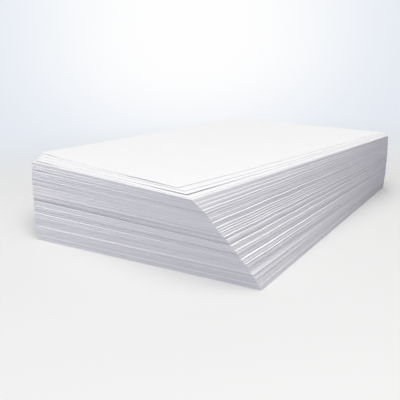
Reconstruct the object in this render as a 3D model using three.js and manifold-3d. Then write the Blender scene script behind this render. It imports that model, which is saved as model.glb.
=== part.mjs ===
// A fanned stack of plain white laid cardstock, unbound, lying flat on a table.
// Millimetres, +Z up. X runs along the short edge of the bottom sheet and Y along its long edge.
import * as THREE from 'three';
import { mergeVertices } from 'three/addons/utils/BufferGeometryUtils.js';
import Module from 'manifold-3d';

const wasm = await Module();
wasm.setup();

// The cut sheet: letter format, in an 80 lb cover weight
const SHEET_WIDTH = 215.9;
const SHEET_LENGTH = 279.4;
const SHEET_THICKNESS = 0.285;

// Air between the edges of one sheet and the next
const AIR_GAP = 0.02;
const SHEET_PITCH = SHEET_THICKNESS + AIR_GAP;

// How far in from their edges the sheets of a lift cling together
const CLING_INSET = 12;

// The fan. Each sheet is turned clockwise, seen from above, about its far right corner.
// Each row is a share of the fan's height and the turn in degrees that has built up evenly by there.
const EVEN_FAN = [
  [0, 0],
  [0.2, 1.3],
  [0.34, 2.25],
  [0.42, 2.7],
  [0.53, 3.35],
  [0.63, 4.05],
  [0.73, 4.45],
  [0.83, 4.9],
  [0.92, 5.55],
  [1, 6.65],
];

// How far the far right corner has crept by the top of the fan, sideways mostly near the table
const CORNER_CREEP_X = 4;
const CORNER_CREEP_Y = -5.3;

// The fan also opens by jumps, in degrees, which leave a lit ledge above some lifts
const LEDGE_TURNS = { level: 0, faint: 0.08, plain: 0.2, wide: 0.3 };

// The lifts from the table up: how many sheets lie together, and the ledge above them
const LIFTS = [
  [3, 'level'], [2, 'level'], [3, 'level'], [2, 'faint'],
  [3, 'level'], [3, 'faint'], [3, 'level'], [3, 'level'],
  [3, 'level'], [3, 'faint'], [3, 'level'], [3, 'plain'],
  [3, 'faint'], [3, 'level'], [2, 'level'], [3, 'level'],
  [2, 'level'], [3, 'level'], [2, 'level'], [4, 'plain'],
  [4, 'faint'], [3, 'level'], [2, 'wide'], [5, 'faint'],
  [4, 'level'], [3, 'faint'], [3, 'level'], [2, 'wide'],
  [4, 'level'], [4, 'faint'], [3, 'wide'], [4, 'level'],
  [3, 'level'], [4, 'plain'], [3, 'level'], [3, 'plain'],
  [4, 'plain'], [4, 'plain'], [4, 'plain'], [3, 'level'],
  [2, 'wide'], [4, 'level'], [4, 'level'], [3, 'wide'],
  [4, 'level'], [4, 'plain'], [3, 'faint'], [4, 'faint'],
  [4, 'plain'], [5, 'wide'], [3, 'level'], [4, 'plain'],
  [3, 'level'], [2, 'plain'], [4, 'level'], [4, 'level'],
];

// The loose sheets dropped on top: turn in degrees, and where the far right corner lies
// from the far right corner of the bottom sheet
const LOOSE_SHEETS = [
  { name: 'loose_sheet_1', turn: 12.1, cornerX: 4.2, cornerY: -4.0 },
  { name: 'loose_sheet_2', turn: 12.7, cornerX: 1.0, cornerY: 0.1 },
  { name: 'loose_sheet_3', turn: 13.6, cornerX: -0.2, cornerY: 4.7 },
  { name: 'top_sheet', turn: 14.8, cornerX: -3.8, cornerY: 7.4 },
];

// Hand squaring is never perfect: the most that one sheet strays from its place
const STRAY_SHIFT = 0.1;
const STRAY_TURN = 0.015;
const STRAY_SEED = 5;

const cardstock = new THREE.MeshStandardMaterial({
  color: 0xf5f4f2,
  roughness: 0.9,
  metalness: 0,
});

// A number between -1 and 1, the next in a fixed sequence
THREE.MathUtils.seededRandom(STRAY_SEED);
const nextStray = () => 2 * THREE.MathUtils.seededRandom() - 1;

// The evenly built up turn at a share of the fan's height
function evenTurn(share) {
  let upper = 1;
  while (upper < EVEN_FAN.length - 1 && EVEN_FAN[upper][0] < share) upper += 1;
  const [lowShare, lowTurn] = EVEN_FAN[upper - 1];
  const [highShare, highTurn] = EVEN_FAN[upper];
  return THREE.MathUtils.mapLinear(share, lowShare, highShare, lowTurn, highTurn);
}

// The same place with the small error of hand squaring
function strayed(place) {
  return {
    turn: place.turn + STRAY_TURN * nextStray(),
    cornerX: place.cornerX + STRAY_SHIFT * nextStray(),
    cornerY: place.cornerY + STRAY_SHIFT * nextStray(),
  };
}

// A flat block at a sheet's place, its edges a margin inside the sheet's, between two heights
function flatBlock(place, margin, bottom, top) {
  const block = new THREE.BoxGeometry(SHEET_WIDTH - 2 * margin, SHEET_LENGTH - 2 * margin, top - bottom);
  block.translate(-SHEET_WIDTH / 2, -SHEET_LENGTH / 2, (bottom + top) / 2);
  block.rotateZ(-THREE.MathUtils.degToRad(place.turn));
  block.translate(place.cornerX, place.cornerY, 0);
  return block;
}

// A closed solid from a three.js geometry, ready to be joined
function toSolid(geometry) {
  geometry.deleteAttribute('normal');
  geometry.deleteAttribute('uv');
  const closed = mergeVertices(geometry);
  const vertProperties = new Float32Array(closed.attributes.position.array);
  const triVerts = new Uint32Array(closed.index.array);
  return new wasm.Manifold(new wasm.Mesh({ numProp: 3, vertProperties, triVerts }));
}

// A three.js geometry from a joined solid
function toGeometry(solid) {
  const joined = solid.getMesh();
  const geometry = new THREE.BufferGeometry();
  geometry.setAttribute('position', new THREE.BufferAttribute(joined.vertProperties, 3));
  geometry.setIndex(new THREE.BufferAttribute(joined.triVerts, 1));
  geometry.computeVertexNormals();
  return geometry;
}

// The sheets of one lift from height 0 up, apart at their edges and clinging together further in
function liftGeometry(places) {
  const middle = places[Math.floor(places.length / 2)];
  const clingBottom = SHEET_THICKNESS / 2;
  const clingTop = clingBottom + (places.length - 1) * SHEET_PITCH;
  let lift = toSolid(flatBlock(middle, CLING_INSET, clingBottom, clingTop));
  places.forEach((place, index) => {
    const bottom = index * SHEET_PITCH;
    lift = lift.add(toSolid(flatBlock(place, 0, bottom, bottom + SHEET_THICKNESS)));
  });
  return toGeometry(lift);
}

// The fanned lifts, from the table up
function buildFan(stack) {
  const sheetsInFan = LIFTS.reduce((sum, [sheets]) => sum + sheets, 0);
  let sheet = 0;
  let jumped = 0;
  let height = 0;
  LIFTS.forEach(([sheets, ledge], number) => {
    const places = [];
    for (let i = 0; i < sheets; i += 1) {
      const share = sheet / (sheetsInFan - 1);
      places.push(strayed({
        turn: evenTurn(share) + jumped,
        cornerX: CORNER_CREEP_X * share * (2 - share),
        cornerY: CORNER_CREEP_Y * share,
      }));
      sheet += 1;
    }
    const mesh = new THREE.Mesh(liftGeometry(places), cardstock);
    mesh.name = `lift_${String(number + 1).padStart(2, '0')}`;
    mesh.position.z = height;
    stack.add(mesh);
    jumped += LEDGE_TURNS[ledge];
    height += sheets * SHEET_PITCH;
  });
  return height;
}

// The few loose sheets on top of the fan
function buildLooseSheets(stack, topOfFan) {
  LOOSE_SHEETS.forEach((sheet, number) => {
    const mesh = new THREE.Mesh(flatBlock(sheet, 0, 0, SHEET_THICKNESS), cardstock);
    mesh.name = sheet.name;
    mesh.position.z = topOfFan + number * SHEET_PITCH;
    stack.add(mesh);
  });
}

// The whole stack, moved so that the middle of its box is over the origin
function buildStack() {
  const stack = new THREE.Group();
  const topOfFan = buildFan(stack);
  buildLooseSheets(stack, topOfFan);
  const middle = new THREE.Box3().setFromObject(stack).getCenter(new THREE.Vector3());
  stack.position.set(-middle.x, -middle.y, 0);
  return stack;
}

export default buildStack();
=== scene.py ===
# An unbound stack of plain white laid cardstock on a table: 186 letter sheets, fanned so that each
# one is turned a little further than the one below, the top four loose and askew. Metres, +Z up.
import math
import random

import bmesh
import bpy
from mathutils import Matrix, Vector


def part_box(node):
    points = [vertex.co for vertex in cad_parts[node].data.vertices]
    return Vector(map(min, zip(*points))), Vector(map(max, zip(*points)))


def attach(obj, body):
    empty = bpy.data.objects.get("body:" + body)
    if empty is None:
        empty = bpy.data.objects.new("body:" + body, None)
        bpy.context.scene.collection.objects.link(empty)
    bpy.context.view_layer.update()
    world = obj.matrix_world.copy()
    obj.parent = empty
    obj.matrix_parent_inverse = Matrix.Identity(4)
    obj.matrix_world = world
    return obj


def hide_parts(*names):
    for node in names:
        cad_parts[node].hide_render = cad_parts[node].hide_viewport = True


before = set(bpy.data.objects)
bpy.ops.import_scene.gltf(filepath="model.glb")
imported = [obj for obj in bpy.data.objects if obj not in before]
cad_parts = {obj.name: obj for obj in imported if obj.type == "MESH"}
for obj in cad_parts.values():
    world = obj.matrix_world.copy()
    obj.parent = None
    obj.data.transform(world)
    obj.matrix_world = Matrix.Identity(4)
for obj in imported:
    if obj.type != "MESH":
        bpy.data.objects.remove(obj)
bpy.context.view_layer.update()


# ---- The table ----
# A plain pale table top with no edge in sight. It is matt, and takes the stack's soft shadow.
# Behind the stack it fades into a pale bluish haze, which hides where the table ends.

TABLE_REACH = 30.0
TABLE_SIDES = 64
TABLE_COLOUR = (0.65, 0.65, 0.66, 1)
TABLE_COLOUR_SEEN = (0.787, 0.787, 0.772, 1)
TABLE_ROUGHNESS = 0.8
TABLE_GLOSS = 0.2

# The haze thickens with the distance from its centre, a place in front of the stack
HAZE_CENTRE = (0.29, -0.46, 0)
HAZE_COLOUR = (0.77, 0.815, 0.885, 1)
HAZE_STARTS = 0.6
HAZE_ENDS = 1.15

# Straight behind the stack the haze glows almost white. How far a place is off the glow counts
# 1 for lying aside by GLOW_SPREAD of the way ahead, and 1 for being only GLOW_NEAREST away.
GLOW_COLOUR = (0.99, 0.99, 0.995, 1)
GLOW_HEADING = math.radians(34)
GLOW_SPREAD = 0.42
GLOW_NEAREST = 0.6
GLOW_FULL = 0.15
GLOW_GONE = 1.1

# The sockets of a Mix node that mixes colours
COLOUR_A = 6
COLOUR_B = 7
MIXED_COLOUR = 2


def way_off_glow(nodes, links, place, centre):
    """How far to the side of the glow a place lies, as a share of how far the glow spreads."""
    turned = nodes.new("ShaderNodeMapping")
    turned.vector_type = "TEXTURE"
    turned.inputs["Location"].default_value = centre
    turned.inputs["Rotation"].default_value = (0, 0, GLOW_HEADING)
    turned.inputs["Scale"].default_value = (GLOW_SPREAD, 1, 1)
    links.new(place, turned.inputs["Vector"])
    aside_ahead = nodes.new("ShaderNodeSeparateXYZ")
    links.new(turned.outputs["Vector"], aside_ahead.inputs["Vector"])
    share = nodes.new("ShaderNodeMath")
    share.operation = "DIVIDE"
    links.new(aside_ahead.outputs["X"], share.inputs[0])
    links.new(aside_ahead.outputs["Y"], share.inputs[1])
    return share.outputs["Value"]


def haze_tint(nodes, links, off_glow):
    """The colour of the haze, from how far off the middle of the glow it is."""
    fading = nodes.new("ShaderNodeMapRange")
    fading.interpolation_type = "SMOOTHSTEP"
    fading.inputs["From Min"].default_value = GLOW_FULL
    fading.inputs["From Max"].default_value = GLOW_GONE
    links.new(off_glow, fading.inputs["Value"])
    tint = nodes.new("ShaderNodeMix")
    tint.data_type = "RGBA"
    tint.inputs[COLOUR_A].default_value = GLOW_COLOUR
    tint.inputs[COLOUR_B].default_value = HAZE_COLOUR
    links.new(fading.outputs["Result"], tint.inputs["Factor"])
    return tint.outputs[MIXED_COLOUR]


def table_material():
    """Matt pale paint that fades into the haze. Only the camera sees the haze."""
    material = bpy.data.materials.new("table paint")
    material.use_nodes = True
    nodes = material.node_tree.nodes
    links = material.node_tree.links
    paint = nodes["Principled BSDF"]
    paint.inputs["Roughness"].default_value = TABLE_ROUGHNESS
    paint.inputs["Specular IOR Level"].default_value = TABLE_GLOSS

    # The camera sees the table paler than it is, so that it throws less light up at the stack
    light_path = nodes.new("ShaderNodeLightPath")
    table_tint = nodes.new("ShaderNodeMix")
    table_tint.data_type = "RGBA"
    table_tint.inputs[COLOUR_A].default_value = TABLE_COLOUR
    table_tint.inputs[COLOUR_B].default_value = TABLE_COLOUR_SEEN
    links.new(light_path.outputs["Is Camera Ray"], table_tint.inputs["Factor"])
    links.new(table_tint.outputs[MIXED_COLOUR], paint.inputs["Base Color"])

    # The haze's colour: off the glow to the side, or off it by being too near
    coordinates = nodes.new("ShaderNodeTexCoord")
    distance = nodes.new("ShaderNodeVectorMath")
    distance.operation = "DISTANCE"
    distance.inputs[1].default_value = HAZE_CENTRE
    links.new(coordinates.outputs["Object"], distance.inputs[0])
    nearness = nodes.new("ShaderNodeMath")
    nearness.operation = "DIVIDE"
    nearness.inputs[0].default_value = GLOW_NEAREST
    links.new(distance.outputs["Value"], nearness.inputs[1])
    aside_near = nodes.new("ShaderNodeCombineXYZ")
    aside = way_off_glow(nodes, links, coordinates.outputs["Object"], HAZE_CENTRE)
    links.new(aside, aside_near.inputs["X"])
    links.new(nearness.outputs["Value"], aside_near.inputs["Y"])
    off_glow = nodes.new("ShaderNodeVectorMath")
    off_glow.operation = "LENGTH"
    links.new(aside_near.outputs["Vector"], off_glow.inputs[0])
    haze = nodes.new("ShaderNodeEmission")
    links.new(haze_tint(nodes, links, off_glow.outputs["Value"]), haze.inputs["Color"])

    # The haze is seen by the camera alone, so it sheds no light on the stack
    thickness = nodes.new("ShaderNodeMapRange")
    thickness.interpolation_type = "SMOOTHSTEP"
    thickness.inputs["From Min"].default_value = HAZE_STARTS
    thickness.inputs["From Max"].default_value = HAZE_ENDS
    links.new(distance.outputs["Value"], thickness.inputs["Value"])
    thickness_seen = nodes.new("ShaderNodeMath")
    thickness_seen.operation = "MULTIPLY"
    links.new(thickness.outputs["Result"], thickness_seen.inputs[0])
    links.new(light_path.outputs["Is Camera Ray"], thickness_seen.inputs[1])
    hazy_paint = nodes.new("ShaderNodeMixShader")
    links.new(thickness_seen.outputs["Value"], hazy_paint.inputs["Fac"])
    links.new(paint.outputs["BSDF"], hazy_paint.inputs[1])
    links.new(haze.outputs["Emission"], hazy_paint.inputs[2])
    links.new(hazy_paint.outputs["Shader"], nodes["Material Output"].inputs["Surface"])
    return material


table_shape = bmesh.new()
bmesh.ops.create_circle(table_shape, cap_ends=True, segments=TABLE_SIDES, radius=TABLE_REACH)
table_mesh = bpy.data.meshes.new("table")
table_shape.to_mesh(table_mesh)
table_shape.free()
table_mesh.materials.append(table_material())
table = bpy.data.objects.new("table", table_mesh)
bpy.context.scene.collection.objects.link(table)


# ---- The fanned block ----
# 182 guillotined letter sheets of 80 lb laid cover stock, resting on each other unbound. They lie
# in lifts of 2 to 5 sheets, and a lit ledge or a dark line shows where one lift ends.

MM = 0.001
SHEET_WIDTH = 215.9 * MM
SHEET_LENGTH = 279.4 * MM
SHEET_THICKNESS = 0.285 * MM
AIR_GAP = 0.02 * MM
SHEET_PITCH = SHEET_THICKNESS + AIR_GAP

# A sheet's thickness where it is pressed, which leaves room for the sheets to lie apart elsewhere
PRESSED_THICKNESS = 0.27 * MM

# The ribs and the chain lines that the mould leaves in laid paper
RIB_SPACING = 1.05 * MM
CHAIN_SPACING = 25 * MM
CHAIN_HALF_WIDTH = 0.7 * MM

# Fibres and clouds as noise scales, so a higher number is finer
FACE_FIBRES = 1400
EDGE_FIBRES = 2500
PULP_CLOUDS = 45

# How deep the relief of the face and of the cut edge is, and how strongly it shows
FACE_RELIEF = 0.02 * MM
FACE_RELIEF_STRENGTH = 0.35
EDGE_RELIEF = 0.03 * MM
EDGE_RELIEF_STRENGTH = 0.4

FACE_WHITES = ((0.893, 0.89, 0.885, 1), (0.917, 0.915, 0.911, 1))
FACE_ROUGHNESS = 0.88
FACE_GLOSS = 0.25
# The cut edge's colours are darker and bluer than the face. This is painted shade and a painted
# bluish cast of shade between the sheets, and the darker end paints shadow lines between them.
EDGE_WHITES_AND_SHADE = ((0.63, 0.62, 0.67, 1), (0.93, 0.915, 0.975, 1))
EDGE_ROUGHNESS = 0.95
EDGE_GLOSS = 0.15


def laid_face_material():
    """Uncoated laid white: fine ribs across the sheet, wider chain lines along it, soft fibres."""
    material = bpy.data.materials.new("laid face")
    material.use_nodes = True
    nodes = material.node_tree.nodes
    links = material.node_tree.links
    paper = nodes["Principled BSDF"]
    paper.inputs["Roughness"].default_value = FACE_ROUGHNESS
    paper.inputs["Specular IOR Level"].default_value = FACE_GLOSS

    # The ribs follow one another along the sheet
    plan = nodes.new("ShaderNodeUVMap")
    plan.uv_map = "sheet plan"
    across_along = nodes.new("ShaderNodeSeparateXYZ")
    links.new(plan.outputs["UV"], across_along.inputs["Vector"])
    rib_phase = nodes.new("ShaderNodeMath")
    rib_phase.operation = "MULTIPLY"
    rib_phase.inputs[1].default_value = math.tau / RIB_SPACING
    links.new(across_along.outputs["Y"], rib_phase.inputs[0])
    ribs = nodes.new("ShaderNodeMath")
    ribs.operation = "SINE"
    links.new(rib_phase.outputs["Value"], ribs.inputs[0])

    # The chain lines are shallow grooves that follow one another across the sheet
    from_chain = nodes.new("ShaderNodeMath")
    from_chain.operation = "PINGPONG"
    from_chain.inputs[1].default_value = CHAIN_SPACING / 2
    links.new(across_along.outputs["X"], from_chain.inputs[0])
    chains = nodes.new("ShaderNodeMapRange")
    chains.interpolation_type = "SMOOTHSTEP"
    chains.inputs["From Min"].default_value = 0
    chains.inputs["From Max"].default_value = CHAIN_HALF_WIDTH
    chains.inputs["To Min"].default_value = -1
    chains.inputs["To Max"].default_value = 0
    links.new(from_chain.outputs["Value"], chains.inputs["Value"])

    # Fibres, matted and finer than the ribs
    coordinates = nodes.new("ShaderNodeTexCoord")
    fibres = nodes.new("ShaderNodeTexNoise")
    fibres.inputs["Scale"].default_value = FACE_FIBRES
    fibres.inputs["Detail"].default_value = 4
    fibres.inputs["Roughness"].default_value = 0.65
    links.new(coordinates.outputs["Object"], fibres.inputs["Vector"])

    ribs_and_chains = nodes.new("ShaderNodeMath")
    ribs_and_chains.operation = "ADD"
    links.new(ribs.outputs["Value"], ribs_and_chains.inputs[0])
    links.new(chains.outputs["Result"], ribs_and_chains.inputs[1])
    relief = nodes.new("ShaderNodeMath")
    relief.operation = "ADD"
    links.new(ribs_and_chains.outputs["Value"], relief.inputs[0])
    links.new(fibres.outputs["Fac"], relief.inputs[1])
    bump = nodes.new("ShaderNodeBump")
    bump.inputs["Strength"].default_value = FACE_RELIEF_STRENGTH
    bump.inputs["Distance"].default_value = FACE_RELIEF
    links.new(relief.outputs["Value"], bump.inputs["Height"])
    links.new(bump.outputs["Normal"], paper.inputs["Normal"])

    # Cloudy look-through of the pulp, a few centimetres across
    clouds = nodes.new("ShaderNodeTexNoise")
    clouds.inputs["Scale"].default_value = PULP_CLOUDS
    clouds.inputs["Detail"].default_value = 3
    links.new(coordinates.outputs["Object"], clouds.inputs["Vector"])
    white = nodes.new("ShaderNodeMix")
    white.data_type = "RGBA"
    white.inputs[COLOUR_A].default_value = FACE_WHITES[0]
    white.inputs[COLOUR_B].default_value = FACE_WHITES[1]
    links.new(clouds.outputs["Fac"], white.inputs["Factor"])
    links.new(white.outputs[MIXED_COLOUR], paper.inputs["Base Color"])
    return material


def cut_edge_material():
    """The guillotined edge: rougher than the face, with painted shade that makes it darker and
    bluer than the face, and each sheet a different grey-white whose darker tones paint shadow
    lines between the sheets.
    """
    material = bpy.data.materials.new("cut edge")
    material.use_nodes = True
    nodes = material.node_tree.nodes
    links = material.node_tree.links
    paper = nodes["Principled BSDF"]
    paper.inputs["Roughness"].default_value = EDGE_ROUGHNESS
    paper.inputs["Specular IOR Level"].default_value = EDGE_GLOSS

    # Each sheet's tone picks its edge colour; the darker tones are painted shade, standing for the
    # shadow lines between the sheets
    tone = nodes.new("ShaderNodeAttribute")
    tone.attribute_name = "sheet tone and shade"
    white = nodes.new("ShaderNodeMix")
    white.data_type = "RGBA"
    white.inputs[COLOUR_A].default_value = EDGE_WHITES_AND_SHADE[0]
    white.inputs[COLOUR_B].default_value = EDGE_WHITES_AND_SHADE[1]
    links.new(tone.outputs["Fac"], white.inputs["Factor"])
    links.new(white.outputs[MIXED_COLOUR], paper.inputs["Base Color"])

    coordinates = nodes.new("ShaderNodeTexCoord")
    fibres = nodes.new("ShaderNodeTexNoise")
    fibres.inputs["Scale"].default_value = EDGE_FIBRES
    fibres.inputs["Detail"].default_value = 3
    links.new(coordinates.outputs["Object"], fibres.inputs["Vector"])
    bump = nodes.new("ShaderNodeBump")
    bump.inputs["Strength"].default_value = EDGE_RELIEF_STRENGTH
    bump.inputs["Distance"].default_value = EDGE_RELIEF
    links.new(fibres.outputs["Fac"], bump.inputs["Height"])
    links.new(bump.outputs["Normal"], paper.inputs["Normal"])
    return material


# The order of a sheet's two materials
LAID_FACE = 0
CUT_EDGE = 1
sheet_materials = [laid_face_material(), cut_edge_material()]


def sheet_place(node, height):
    """Where the CAD node's sheet with its underside at that height lies, as a matrix."""
    rim = [vert.co for vert in node.data.vertices if abs(vert.co.z - height) < AIR_GAP / 4]
    near_left = min(rim, key=lambda corner: corner.x + corner.y)
    near_right = max(rim, key=lambda corner: corner.x - corner.y)
    far_right = max(rim, key=lambda corner: corner.x + corner.y)
    turn = math.atan2(near_right.y - near_left.y, near_right.x - near_left.x)
    return Matrix.Translation((near_left + far_right) / 2) @ Matrix.Rotation(turn, 4, "Z")


# The waves run across the sheets, a little askew to follow the fan. They swell from the table to
# the middle of the block, and die down again under the weight on top.
WAVE_LENGTH = 51.1 * MM
WAVE_RISE = 0.26 * MM
WAVE_HEADING = math.radians(6)
FIRST_DIP = -142.2 * MM
FAN_HEIGHT = 55.5 * MM
MIDDLE_SWELL = 2.6
TOP_SWELL = 0.3

# Places where the sheets lie a little apart: the height of the gap, how far it opens, the
# middle of the open place and how far it reaches, in millimetres
OPEN_PLACES = [
    (28.6, 0.75, (-30, -150), 200),
    (50.2, 0.38, (-130, -110), 80),
    (43.4, 0.4, (-120, -120), 80),
    (39.8, 0.36, (-120, -130), 80),
    (47.0, 0.36, (70, -160), 50),
    (34.4, 0.36, (90, -165), 50),
    (22.8, 0.3, (110, -168), 60),
    (9.3, 0.34, (120, -170), 70),
    (6.6, 0.34, (120, -170), 70),
    (26.0, 0.4, (140, 110), 90),
    (21.0, 0.4, (140, 110), 90),
    (8.2, 0.34, (140, 110), 80),
    (5.0, 0.34, (140, 110), 100),
    (2.6, 0.24, (-60, -170), 120),
]

# Small openings all round the block, left by squaring it by hand. A draw from 0 to 4 says where:
# along the near side up to 2, then along the right side, and in two rows at the far end past 3.2.
SMALL_OPENINGS = 70
SMALL_SEED = 21
SIDE_DRAW = 4
NEAR_SIDE_UP_TO = 2
FAR_SIDE_FROM = 3.2
NEAR_SIDE = -150
RIGHT_SIDE = 140
FAR_ROWS = (110, 150)
SMALL_OPENING_LIMITS = (0.05, 0.16)
SMALL_HEIGHT_LIMITS = (1.5, 53)
SMALL_REACH_LIMITS = (70, 220)


def draw_small_opening(draw):
    """A small opening at a place that is drawn at random, in the same terms as OPEN_PLACES."""
    side = draw.uniform(0, SIDE_DRAW)
    if side < NEAR_SIDE_UP_TO:
        middle = (draw.uniform(-110, 110), NEAR_SIDE)
    else:
        middle = (RIGHT_SIDE, draw.uniform(-150, 110))
    if side > FAR_SIDE_FROM:
        middle = (draw.uniform(-140, 130), draw.choice(FAR_ROWS))
    opening = draw.uniform(*SMALL_OPENING_LIMITS)
    height = draw.uniform(*SMALL_HEIGHT_LIMITS)
    return (height, opening, middle, draw.uniform(*SMALL_REACH_LIMITS))


opening_draws = random.Random(SMALL_SEED)
for number in range(SMALL_OPENINGS):
    OPEN_PLACES.append(draw_small_opening(opening_draws))

# Sheets give way above and below a gap over this many times its opening, which fades out by
# this many times that height
GIVE_RATIO = 10
GIVE_LIMIT = 5

# The sheets below this height are pressed flat on the table
FIRM_HEIGHT = 2.4 * MM

bottom_corner = sheet_place(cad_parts["lift_01"], 0.0) @ Vector(
    (SHEET_WIDTH / 2, SHEET_LENGTH / 2, 0)
)
along_way = Vector((math.sin(WAVE_HEADING), math.cos(WAVE_HEADING), 0))
across_way = Vector((math.cos(WAVE_HEADING), -math.sin(WAVE_HEADING), 0))


def settle(point, height):
    """Moves a point of the sheet at that height up or down, as the sheets below it lie."""
    along = (point - bottom_corner).dot(along_way)
    share = min(1.0, height / FAN_HEIGHT)
    swell = MIDDLE_SWELL * share * (1 - share) + TOP_SWELL * share
    rise = -WAVE_RISE * swell * math.cos(math.tau * (along - FIRST_DIP) / WAVE_LENGTH)
    for gap_height, opening, middle, reach in OPEN_PLACES:
        above = height - gap_height * MM
        give_height = GIVE_RATIO * opening * MM
        if abs(above) > GIVE_LIMIT * give_height:
            continue
        away = (point.xy - Vector(middle) * MM).length / (reach * MM)
        give = math.exp(-abs(above) / give_height - away * away)
        rise += math.copysign(0.5 * opening * MM * give, above)
    point.z += rise * min(1, height / FIRM_HEIGHT)


# The sheets bend only where these upright planes cross them. All of them share the planes, so
# each one follows the sheet below without cutting into it. The numbers count steps from the far
# right corner of the bottom sheet, and reach past the sheets all round.
WAVE_STEP = WAVE_LENGTH / 4
WAVE_STEPS = range(-13, 16)
SHORT_SIDE_STEP = 36 * MM
SHORT_SIDE_STEPS = range(-7, 1)
wave_lines = [bottom_corner + (FIRST_DIP + step * WAVE_STEP) * along_way for step in WAVE_STEPS]
short_side_lines = [
    bottom_corner + step * SHORT_SIDE_STEP * across_way for step in SHORT_SIDE_STEPS
]

# A plane that passes this close to a corner runs through the corner
CORNER_SNAP = 1e-6


def raise_sheet(sheet, place):
    """Gives a flat sheet its thickness and its cut edge, and writes its plan as a UV map."""
    raised = bmesh.ops.extrude_face_region(sheet, geom=sheet.faces[:], use_keep_orig=True)["geom"]
    upper_verts = [part for part in raised if isinstance(part, bmesh.types.BMVert)]
    bmesh.ops.translate(sheet, vec=(0, 0, PRESSED_THICKNESS), verts=upper_verts)
    bmesh.ops.recalc_face_normals(sheet, faces=sheet.faces)
    plan = sheet.loops.layers.uv.new("sheet plan")
    to_plan = place.inverted()
    sheet.normal_update()
    for face in sheet.faces:
        lies_flat = abs(face.normal.z) > 0.5
        face.material_index = LAID_FACE if lies_flat else CUT_EDGE
        for loop in face.loops:
            loop[plan].uv = (to_plan @ loop.vert.co).xy


def cut_sheet(place):
    """A sheet of the block in its place, in strips that can follow the waves."""
    sheet = bmesh.new()
    bmesh.ops.create_grid(sheet, x_segments=1, y_segments=1, size=0.5)
    bmesh.ops.scale(sheet, vec=(SHEET_WIDTH, SHEET_LENGTH, 1), verts=sheet.verts)
    bmesh.ops.transform(sheet, matrix=place, verts=sheet.verts)

    # The rim alone is cut first, so that its long strips end in short sides that can bend too
    bmesh.ops.delete(sheet, geom=sheet.faces[:], context="FACES_ONLY")
    for line in short_side_lines:
        rim = sheet.verts[:] + sheet.edges[:]
        bmesh.ops.bisect_plane(
            sheet, geom=rim, dist=CORNER_SNAP, plane_co=line, plane_no=across_way
        )
    bmesh.ops.contextual_create(sheet, geom=sheet.edges[:])
    for line in wave_lines:
        whole = sheet.verts[:] + sheet.edges[:] + sheet.faces[:]
        bmesh.ops.bisect_plane(
            sheet, geom=whole, dist=CORNER_SNAP, plane_co=line, plane_no=along_way
        )
    raise_sheet(sheet, place)
    return sheet


def finish_piece(shape, mesh_name, piece_name, node_name):
    """Turns a shape of paper into the visible piece that replaces a CAD node."""
    mesh = bpy.data.meshes.new(mesh_name)
    shape.to_mesh(mesh)
    shape.free()
    for material in sheet_materials:
        mesh.materials.append(material)
    piece = bpy.data.objects.new(piece_name, mesh)
    bpy.context.scene.collection.objects.link(piece)
    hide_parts(node_name)
    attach(piece, "root")


# How far a sheet strays from its place. A share of the sheets stands proud, and strays further.
SHEET_STRAY = 0.11 * MM
PROUD_SHARE = 0.12
PROUD_STRAY = 3 * SHEET_STRAY
STRAY_SEED = 8

# The cut edges differ in tone, partly from lift to lift and mostly from sheet to sheet
# The darker tones are painted shade: they stand for the shadow lines and trapped shade between the
# sheets
LIFT_TONE_SHARE = 0.25
TONE_SEED = 11

strays = random.Random(STRAY_SEED)
tones = random.Random(TONE_SEED)


def lay_lift(name):
    """One lift of the fan: its sheets laid one on another where the CAD node has them."""
    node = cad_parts[name]
    low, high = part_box(name)
    sheet_count = round((high.z - low.z + AIR_GAP) / SHEET_PITCH)
    lift = bmesh.new()
    tone_and_shade_layer = lift.faces.layers.float.new("sheet tone and shade")
    lift_tone = tones.random()
    for number in range(sheet_count):
        height = low.z + number * SHEET_PITCH
        stray = PROUD_STRAY if strays.random() < PROUD_SHARE else SHEET_STRAY
        place = sheet_place(node, height)
        place.translation.x += strays.uniform(-stray, stray)
        place.translation.y += strays.uniform(-stray, stray)
        sheet = cut_sheet(place)
        for vert in sheet.verts:
            settle(vert.co, height)
        laid = bpy.data.meshes.new("laid sheet")
        sheet.to_mesh(laid)
        sheet.free()
        first_face = len(lift.faces)
        lift.from_mesh(laid)
        bpy.data.meshes.remove(laid)
        lift.faces.ensure_lookup_table()
        # This sheet's edge tone; its darker values are painted shade between the sheets
        tone = LIFT_TONE_SHARE * lift_tone + (1 - LIFT_TONE_SHARE) * tones.random()
        for face in lift.faces[first_face:]:
            face[tone_and_shade_layer] = tone
    finish_piece(lift, name + " sheets", name + "_sheets", name)


lift_names = sorted(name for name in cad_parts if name.startswith("lift_"))
for name in lift_names:
    lay_lift(name)


# ---- The loose sheets ----
# Four more sheets of the same stock, dropped on the fan and left askew, the last one furthest.
# Their near corners stand a little off the sheets below.

LOOSE_PARTS_ACROSS = 18
LOOSE_PARTS_ALONG = 24
# The loose sheets' edges all take one middle tone, greyer than the face: painted shade
LOOSE_TONE = 0.6

# Where each loose sheet stands off the one below: a place on the sheet across and along from its
# middle, how far it rises there and how far the rise reaches, in millimetres
LOOSE_RISES = {
    "loose_sheet_1": [(-108, -140, 0.55, 42)],
    "loose_sheet_2": [(-108, -140, 0.57, 42), (108, -140, 0.6, 45)],
    "loose_sheet_3": [(-108, -140, 0.59, 42), (108, -140, 0.62, 45)],
    "top_sheet": [(-108, -140, 0.95, 46), (108, -140, 0.65, 45), (66, -140, 0.4, 28)],
}


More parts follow.
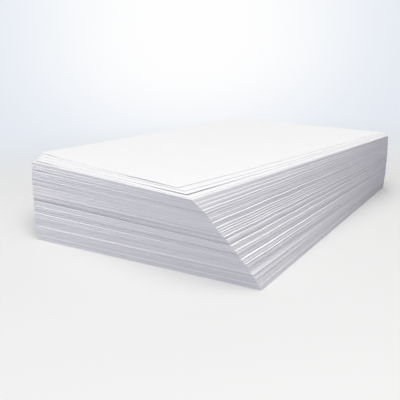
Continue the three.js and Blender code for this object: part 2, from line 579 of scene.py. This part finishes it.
def lay_loose_sheet(name, rises):
    """A single sheet in its place, standing off the one below in a few places."""
    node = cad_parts[name]
    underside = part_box(name)[0].z
    sheet = bmesh.new()
    bmesh.ops.create_grid(
        sheet, x_segments=LOOSE_PARTS_ACROSS, y_segments=LOOSE_PARTS_ALONG, size=0.5
    )
    bmesh.ops.scale(sheet, vec=(SHEET_WIDTH, SHEET_LENGTH, 1), verts=sheet.verts)
    raise_sheet(sheet, Matrix.Identity(4))
    for vert in sheet.verts:
        for across, along, rise, reach in rises:
            away = (vert.co.xy - Vector((across, along)) * MM).length / (reach * MM)
            vert.co.z += rise * MM * math.exp(-away * away)
    bmesh.ops.transform(sheet, matrix=sheet_place(node, underside), verts=sheet.verts)
    for vert in sheet.verts:
        settle(vert.co, underside)

    # The faces bend smoothly, and the cut edge stays sharp
    tone_and_shade_layer = sheet.faces.layers.float.new("sheet tone and shade")
    for face in sheet.faces:
        face.smooth = face.material_index == LAID_FACE
        face[tone_and_shade_layer] = LOOSE_TONE
    for edge in sheet.edges:
        edge.smooth = edge.link_faces[0].material_index == edge.link_faces[1].material_index
    finish_piece(sheet, name + " paper", name + "_paper", name)


for name, rises in LOOSE_RISES.items():
    lay_loose_sheet(name, rises)


# ---- Light ----
# A broad soft light overhead, weak ones in front, on the right and behind, and a dim bluish room.
# The lamps stand high enough to leave the gaps between the sheets dark.

OVERHEAD_POWER = 2.29
OVERHEAD_ANGLE = math.radians(70)
OVERHEAD_TILT = (math.radians(-2), math.radians(-3), 0)
OVERHEAD_COLOUR = (1.0, 0.992, 0.965)

overhead_light = bpy.data.lights.new("key light", "SUN")
overhead_light.energy = OVERHEAD_POWER
overhead_light.angle = OVERHEAD_ANGLE
overhead_light.color = OVERHEAD_COLOUR
overhead = bpy.data.objects.new("key light", overhead_light)
overhead.rotation_euler = OVERHEAD_TILT
bpy.context.scene.collection.objects.link(overhead)

STACK_MIDDLE = (0, 0, 0.03)
NEAR_RIGHT_PART = (0.1, -0.1, 0.03)


def hang_lamp(name, size, power, colour, place, aim):
    """A square soft lamp in its place, turned to what it lights."""
    light = bpy.data.lights.new(name, "AREA")
    light.shape = "SQUARE"
    light.size = size
    light.energy = power
    light.color = colour
    lamp = bpy.data.objects.new(name, light)
    lamp.location = place
    lamp.rotation_euler = (Vector(aim) - lamp.location).to_track_quat("-Z", "Y").to_euler()
    bpy.context.scene.collection.objects.link(lamp)


hang_lamp("fill light", 0.8, 4.7, (0.9, 0.93, 1.0), (0.0, -1.2, 0.9), STACK_MIDDLE)
hang_lamp("near light", 0.35, 0.63, (1.0, 0.965, 0.985), (0.5, -0.42, 0.42), NEAR_RIGHT_PART)
hang_lamp("back light", 0.8, 1.6, (0.93, 0.95, 1.0), (-0.6, 0.95, 0.7), STACK_MIDDLE)

ROOM_COLOUR = (0.8, 0.84, 1.0, 1)
ROOM_STRENGTH = 0.13

room = bpy.data.worlds.new("room")
room.use_nodes = True
room_nodes = room.node_tree.nodes
room_links = room.node_tree.links
room_air = room_nodes["Background"]
room_air.inputs["Color"].default_value = ROOM_COLOUR
room_air.inputs["Strength"].default_value = ROOM_STRENGTH

# Above the table's far end the camera sees the same haze, with the same glow
sky_way = room_nodes.new("ShaderNodeTexCoord").outputs["Generated"]
sky_aside = room_nodes.new("ShaderNodeMath")
sky_aside.operation = "ABSOLUTE"
room_links.new(way_off_glow(room_nodes, room_links, sky_way, (0, 0, 0)), sky_aside.inputs[0])
sky = room_nodes.new("ShaderNodeBackground")
sky_tint = haze_tint(room_nodes, room_links, sky_aside.outputs["Value"])
room_links.new(sky_tint, sky.inputs["Color"])
room_path = room_nodes.new("ShaderNodeLightPath")
room_or_sky = room_nodes.new("ShaderNodeMixShader")
room_links.new(room_path.outputs["Is Camera Ray"], room_or_sky.inputs["Fac"])
room_links.new(room_air.outputs["Background"], room_or_sky.inputs[1])
room_links.new(sky.outputs["Background"], room_or_sky.inputs[2])
room_links.new(room_or_sky.outputs["Shader"], room_nodes["World Output"].inputs["Surface"])
bpy.context.scene.world = room
bpy.context.scene.view_settings.view_transform = "Standard"


# ---- Camera ----
# The photograph's view: low over the near right corner, turned 34 degrees to the left of +Y.
# The place, the turn and the lens come from the same fit to the photograph as the stack's size.

CAMERA_PLACE = Vector((0.29355, -0.4632, 0.1605))
CAMERA_HEADING = math.radians(34.12)
CAMERA_PITCH = math.radians(16.38)
CAMERA_ROLL = -0.050275
LENS_LENGTH = 49.64
SENSOR_WIDTH = 36
NEAREST_SEEN = 0.01
FURTHEST_SEEN = 100

camera_lens = bpy.data.cameras.new("camera")
camera_lens.lens = LENS_LENGTH
camera_lens.sensor_width = SENSOR_WIDTH
camera_lens.clip_start = NEAREST_SEEN
camera_lens.clip_end = FURTHEST_SEEN
camera = bpy.data.objects.new("camera", camera_lens)
camera.matrix_world = (
    Matrix.Translation(CAMERA_PLACE)
    @ Matrix.Rotation(CAMERA_HEADING, 4, "Z")
    @ Matrix.Rotation(math.radians(90) - CAMERA_PITCH, 4, "X")
    @ Matrix.Rotation(CAMERA_ROLL, 4, "Z")
)
bpy.context.scene.collection.objects.link(camera)
bpy.context.scene.camera = camera
